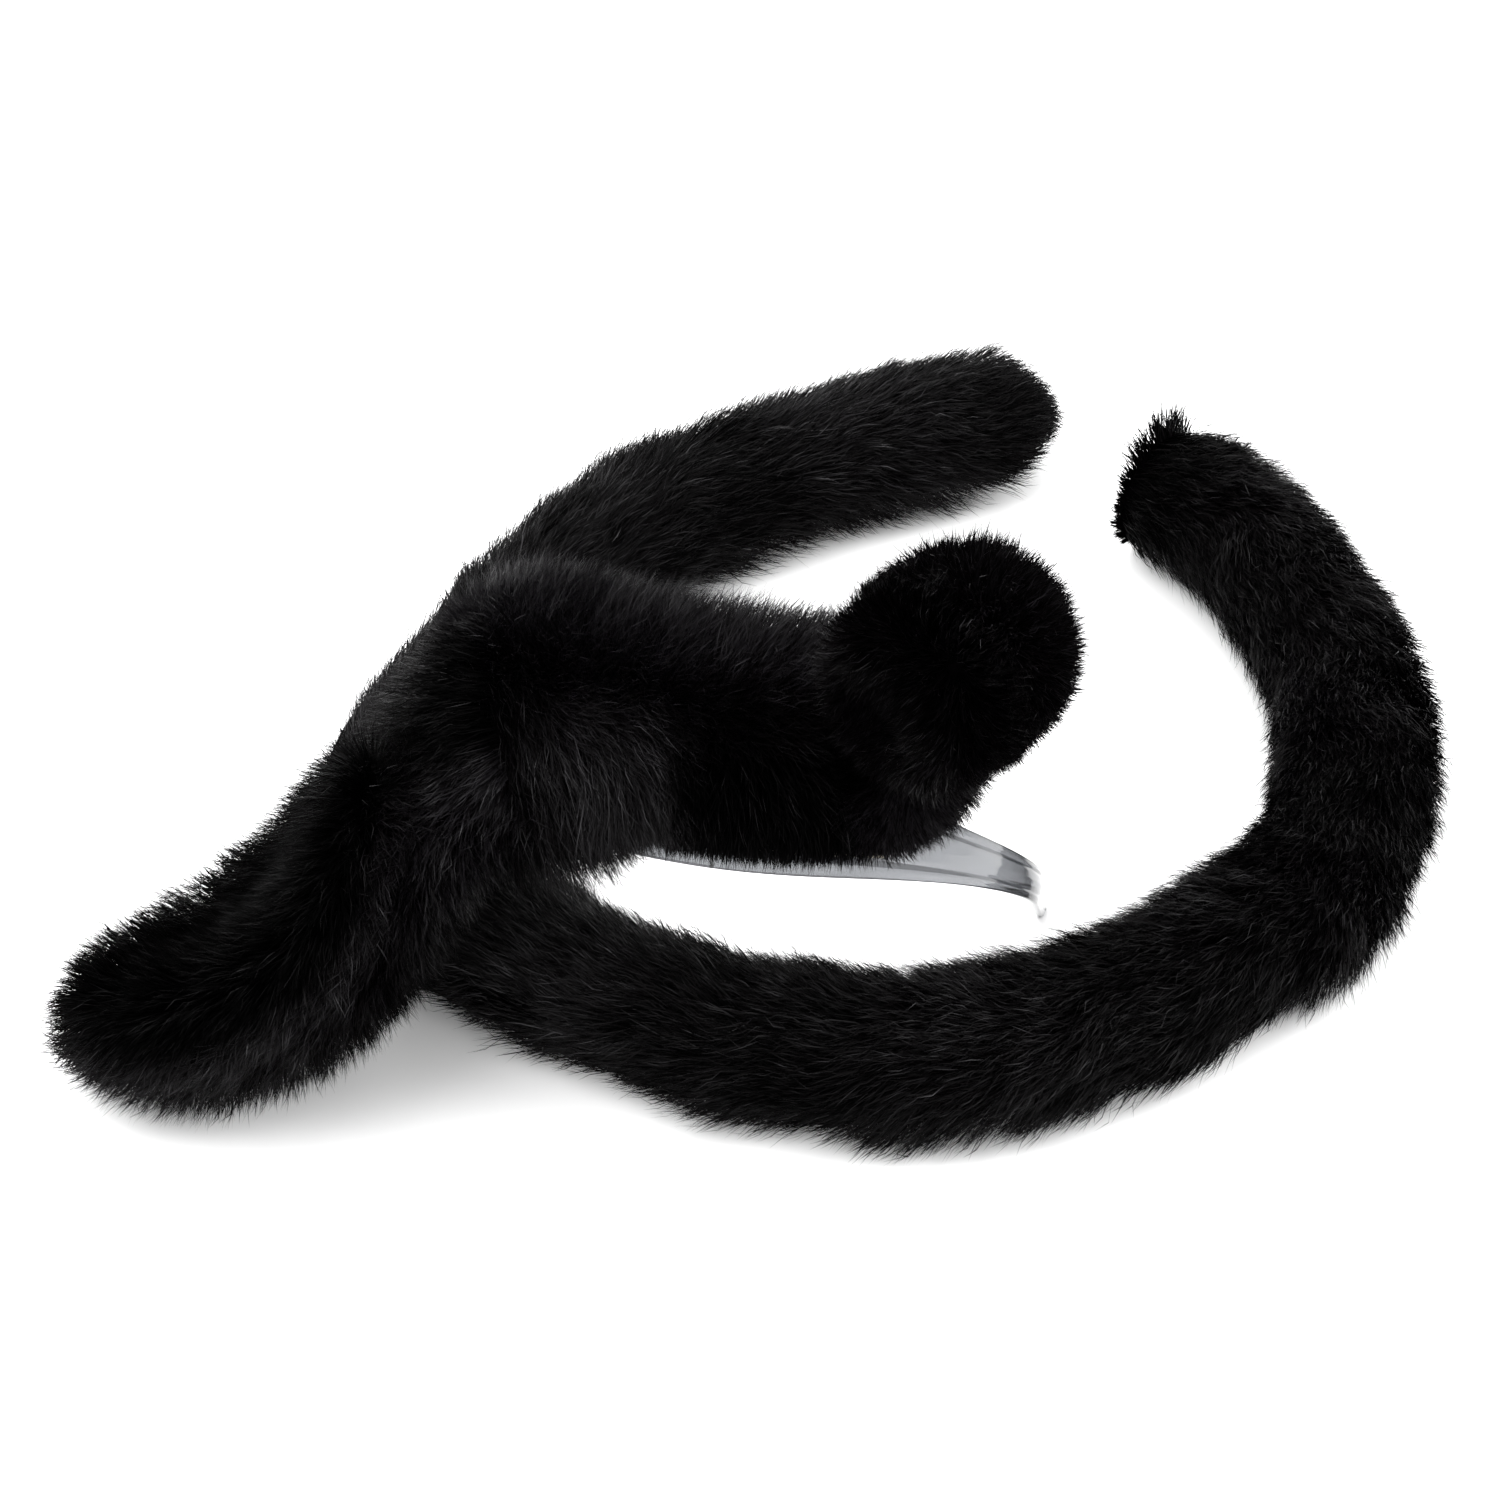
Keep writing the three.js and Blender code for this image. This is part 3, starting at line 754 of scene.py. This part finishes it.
def neck_surface(name, t, angle):
    """Points and normals round the fur that joins an ear to the crown, and its direction."""
    t = t[:, None]
    here, ahead, back = neck_line(name, t)
    ear_across, _, _ = ear_ways(name)
    u = mix(back, ear_across * np.sign(np.dot(ear_across, back)), t)
    u = unit(u - ahead * np.sum(u * ahead, 1, keepdims=True))
    v = np.cross(ahead, u)
    wide = mix(NECKS[name]["wide"], EAR_WIDTH * NECK_END_WIDE * EARS[name]["broad"], t) * MM
    thick = mix(NECKS[name]["thick"], NECK_END_THICK * EARS[name]["thick"], t) * MM
    c = np.cos(angle)[:, None]
    k = np.sin(angle)[:, None]
    return here + u * wide * c + v * thick * k, unit(u * c / wide + v * k / thick), ahead


def neck(name, count):
    t = np.linspace(0, 1, 16)
    angle = np.linspace(0, 2 * math.pi, 32, endpoint=False)
    grid_t, grid_a = np.meshgrid(t, angle, indexing="ij")
    points, _, _ = neck_surface(name, grid_t.ravel(), grid_a.ravel())
    skin = loft(f"ear_{name}_neck_skin", points.reshape(len(t), len(angle), 3), knit)

    def sample(n):
        return np.stack([rng.uniform(0.02, 0.98, n), rng.uniform(0, 2 * math.pi, n)], -1)

    place = locks(count, (0.03, 0.07), sample)
    root, normal, ahead = neck_surface(name, np.clip(place[:, 0], 0, 1), place[:, 1])
    lift = 1.15 + 0.1 * waves(root, 0.02, seed=41)
    length = np.full(len(root), (EARS[name]["hair"] - 1) * MM)
    backward = np.cos(place[:, 1])
    # Painted light and shade: dark over the middle, and pale along both sides, palest at the front, where
    # hair seen side-on catches the light
    tone = 0.04 + 0.75 * smooth((-backward - 0.4) / 0.4) + 0.45 * smooth((backward - 0.4) / 0.4)
    hair = pile(f"ear_{name}_neck_pile", root, normal, ahead, length, lift, tone)
    ends, _, _ = neck_surface(name, np.array([0.15, 0.95]), np.zeros(2))
    for piece in (skin, hair):
        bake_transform(piece)
    return skin


density = 1.0
margin = 18 * MM  # how far the pieces that bend reach past their bend
tail_end = tail_length + TAIL_SKIN * MM * 1.5  # past the middle line, where the tip is rounded off

stretches = [
    ("base", 0.0, base_bend + margin, 34000),
    ("front_right", base_bend + margin, mix(base_bend, tip_bend, 0.36), 26000),
    ("front_left", mix(base_bend, tip_bend, 0.36), mix(base_bend, tip_bend, 0.68), 28000),
    ("left", mix(base_bend, tip_bend, 0.68), tip_bend - margin, 22000),
    ("tip", tip_bend - margin, tail_end, 38000),
]
for name, start, end, count in stretches:
    hair = tail_pile(f"tail_{name}_pile", start, end, int(count * density))
    if name == "base":
        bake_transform(hair)
    elif name == "tip":
        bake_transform(hair)
    else:
        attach(hair, "tail")

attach(tail_end_pile("tail_end_pile", int(4500 * density)), "tail_base")
base_skin = tail_skin("tail_base_skin", 0.0, base_bend + margin)
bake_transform(base_skin)
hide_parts("tail_sleeve_base", "tail_stuffing_base", "tail_base_cap")
middle_skin = tail_skin("tail_middle_skin", base_bend + margin - MM, tip_bend - margin + MM)
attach(middle_skin, "tail")
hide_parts("tail_sleeve_middle", "tail_stuffing_middle")
tip_skin = tail_skin("tail_tip_skin", tip_bend - margin, tail_end)
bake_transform(tip_skin)
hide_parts("tail_sleeve_tip", "tail_stuffing_tip")

cover = cover_skin()
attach(cover, "headband")
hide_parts("crown_fur_cover")
for name, low, high, count in (
    ("left", COVER_SLIP - COVER_HALF, COVER_SLIP, 36000),
    ("right", COVER_SLIP, COVER_SLIP + COVER_HALF, 26000),
):
    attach(cover_pile(f"crown_{name}_pile", low, high, int(count * density)), "headband")

for name in ("left", "right"):
    skin = ear_skin(name)
    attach(skin, f"ear_{name}")
    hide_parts(*(f"ear_{name}_{layer}" for layer in ("back_panel", "stuffing", "front_panel")))
    for hair in ear_pile(name, int(44000 * density)):
        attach(hair, f"ear_{name}")
    neck(name, int(14000 * density))
    frame["nodes"][f"ear_{name}_base_panel"].data.materials[0] = woven

for name, side in (("left", -1), ("right", 1)):
    half_band = band_half(f"band_{name}_half", side)
    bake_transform(half_band)
    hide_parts("band_crown", f"band_arm_{name}")
frame["nodes"]["adhesive_strip"].data.materials[0] = glue

# ---------------------------------------------------------------- studio
floor_material = patterned("studio_floor", (0.86, 0.86, 0.86), (0.9, 0.9, 0.9), 3.0, 0.9, 0.0)
FLOOR_HALF = 3.0
corners = FLOOR_HALF * np.array([(-1, -1, 0), (1, -1, 0), (1, 1, 0), (-1, 1, 0)], float)
floor = mesh_object("floor", corners, [np.array([[0, 1, 2, 3]])], [floor_material])


AIM = (0, 0, 0.05)


def soft_light(name, place, size, power):
    """A round studio light that points at the set."""
    lamp = bpy.data.lights.new(name, "AREA")
    lamp.shape = "DISK"
    lamp.size = size
    lamp.energy = power
    obj = bpy.data.objects.new(name, lamp)
    obj.location = place
    x, y, z = np.array(AIM) - np.array(place)
    obj.rotation_euler = (math.atan2(math.hypot(x, y), -z), 0, math.atan2(-x, y))
    bpy.context.scene.collection.objects.link(obj)


soft_light("key", (-0.6, -0.4, 1.2), 0.9, 12)
soft_light("rim", (-0.1, 0.9, 1.3), 1.1, 20)
soft_light("side", (1.1, 0.0, 0.8), 0.9, 12)
world = bpy.data.worlds.new("studio")
world.use_nodes = True
world.node_tree.nodes["Background"].inputs["Color"].default_value = (1, 1, 1, 1)
world.node_tree.nodes["Background"].inputs["Strength"].default_value = 1.9
bpy.context.scene.world = world
bpy.context.scene.view_settings.view_transform = "Standard"

camera_data = bpy.data.cameras.new("camera")
camera_data.lens = 101.3
camera_data.sensor_width = 36
camera_data.clip_start = 0.05
camera = bpy.data.objects.new("camera", camera_data)
# In front of the tail's own middle, and looking down at it
camera.location = tuple(offset * np.array([1, 1, 0]) + np.array([0, -0.7314, 0.682]))
camera.rotation_euler = (math.radians(47), 0, 0)
bpy.context.scene.collection.objects.link(camera)
bpy.context.scene.camera = camera
